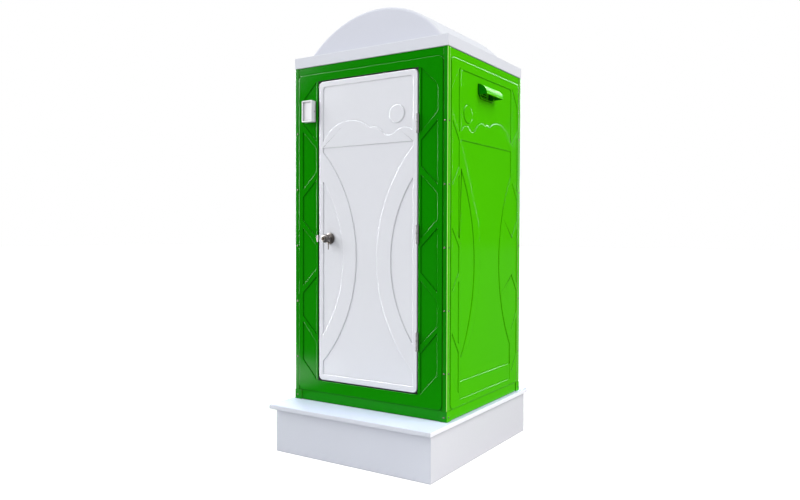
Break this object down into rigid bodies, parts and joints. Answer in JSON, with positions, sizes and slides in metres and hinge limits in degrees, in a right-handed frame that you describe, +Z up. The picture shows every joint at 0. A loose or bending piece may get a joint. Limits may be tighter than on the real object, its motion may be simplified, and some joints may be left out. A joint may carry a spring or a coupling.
{
  "type": "portable toilet cabin",
  "caption": "Portable toilet cabin with a hinged, latched door, vaulted roof light, side vent hoods, a seat over a pedestal and a vent pipe, standing on a wide holding tank.",
  "frame": {"origin": "on the ground, under the middle of the whole part's footprint", "axes": "+Z up, the door faces -Y, +X to the right of someone who faces the door"},
  "size_m": [1.216, 1.315, 2.7069],
  "materials": {
    "white_tank": "satin moulded plastic",
    "green_panel": "satin moulded plastic",
    "green_metal": "powder coated",
    "white_door": "satin moulded plastic",
    "door_foam": "closed-cell foam board",
    "grey_plastic": "grained",
    "white_roof": "satin moulded plastic",
    "roof_light": "milky, lets daylight through",
    "hinge_steel": "zinc plated",
    "washer_plastic": "smooth",
    "lock_chrome": "polished",
    "lock_steel": "plated",
    "lock_brass": "dull",
    "screw_steel": "zinc plated",
    "box_plastic": "smooth",
    "bowl_plastic": "smooth",
    "pipe_plastic": "smooth",
    "paper": "soft paper"
  },
  "bodies": {
    "cabin": {"coat_hook": "lock_steel", "corner_angle_front_left": "green_metal", "corner_angle_front_right": "green_metal", "corner_angle_rear_left": "green_metal", "corner_angle_rear_right": "green_metal", "corner_feet": "green_metal", "deck": "white_tank", "door_stop": "grey_plastic", "floor_pan": "grey_plastic", "front_frame": "green_panel", "hinge_frame_leaf_bottom": "hinge_steel", "hinge_frame_leaf_middle": "hinge_steel", "hinge_frame_leaf_top": "hinge_steel", "hinge_pins": "hinge_steel", "hinge_washers": "washer_plastic", "left_panel": "green_panel", "left_vent": "green_panel", "outlet_flange": "white_tank", "outlet_plug": "pipe_plastic", "panel_screws": "screw_steel", "paper_bracket": "lock_steel", "paper_roller": "pipe_plastic", "pedestal": "bowl_plastic", "pipe_clips": "grey_plastic", "rear_panel": "green_panel", "right_panel": "green_panel", "right_vent": "green_panel", "roof_tray": "white_roof", "roof_vault": "roof_light", "seat_hinge": "lock_steel", "strike_plate": "lock_steel", "tank_shell": "white_tank", "vent_cowl": "pipe_plastic", "vent_hood_left": "green_panel", "vent_hood_right": "green_panel", "vent_pipe": "pipe_plastic", "wall_box_body": "box_plastic", "wall_box_cover": "box_plastic", "wall_box_screws": "screw_steel"},
    "door": {"door_outer_skin": "white_door", "door_core": "door_foam", "door_inner_skin": "white_door", "hinge_door_leaf_bottom": "hinge_steel", "hinge_door_leaf_middle": "hinge_steel", "hinge_door_leaf_top": "hinge_steel", "outer_rose": "lock_chrome", "inner_rose": "lock_chrome", "latch_case": "lock_steel", "latch_face_plate": "lock_steel"},
    "knob_set": {"outer_knob": "lock_chrome", "inner_knob": "lock_chrome", "spindle": "lock_steel"},
    "latch": {"latch_bolt": "lock_steel"},
    "key_plug": {"lock_plug": "lock_brass"},
    "privacy_button": {"turn_button": "lock_chrome"},
    "hanging_key": {"key_ring": "lock_steel", "spare_key": "lock_brass"},
    "seat": {"seat_ring": "bowl_plastic"},
    "paper": {"paper_roll": "paper"}
  },
  "joints": [
    {"name": "door_swing", "type": "hinge", "parent": "cabin", "child": "door", "pos_m": [0.36, -0.4495, 1.357], "axis": [0, 0, 1], "range_deg": [0, 165]},
    {"name": "knob_turn", "type": "hinge", "parent": "door", "child": "knob_set", "pos_m": [-0.272, -0.44, 1.314], "axis": [0, 1, 0], "range_deg": [0, 60]},
    {"name": "latch_slide", "type": "slide", "parent": "door", "child": "latch", "axis": [-1, 0, 0], "range_m": [0, 0.012]},
    {"name": "plug_turn", "type": "hinge", "parent": "knob_set", "child": "key_plug", "pos_m": [-0.272, -0.503, 1.314], "axis": [0, 1, 0], "range_deg": [0, 90]},
    {"name": "button_turn", "type": "hinge", "parent": "knob_set", "child": "privacy_button", "pos_m": [-0.272, -0.342, 1.314], "axis": [0, 1, 0], "range_deg": [0, 90]},
    {"name": "key_swing", "type": "hinge", "parent": "door", "child": "hanging_key", "pos_m": [-0.272, -0.4545, 1.314], "axis": [0, 1, 0], "range_deg": [-30, 30]},
    {"name": "seat_lift", "type": "hinge", "parent": "cabin", "child": "seat", "pos_m": [0, 0.4455, 0.8133], "axis": [-1, 0, 0], "range_deg": [0, 95]},
    {"name": "roll_spin", "type": "hinge", "parent": "cabin", "child": "paper", "pos_m": [-0.456, 0.06, 1.114], "axis": [0, 1, 0], "continuous": true}
  ],
  "couplings": [
    {"joint": "latch_slide", "follows": "knob_turn", "m_per_rad": 0.01145}
  ]
}
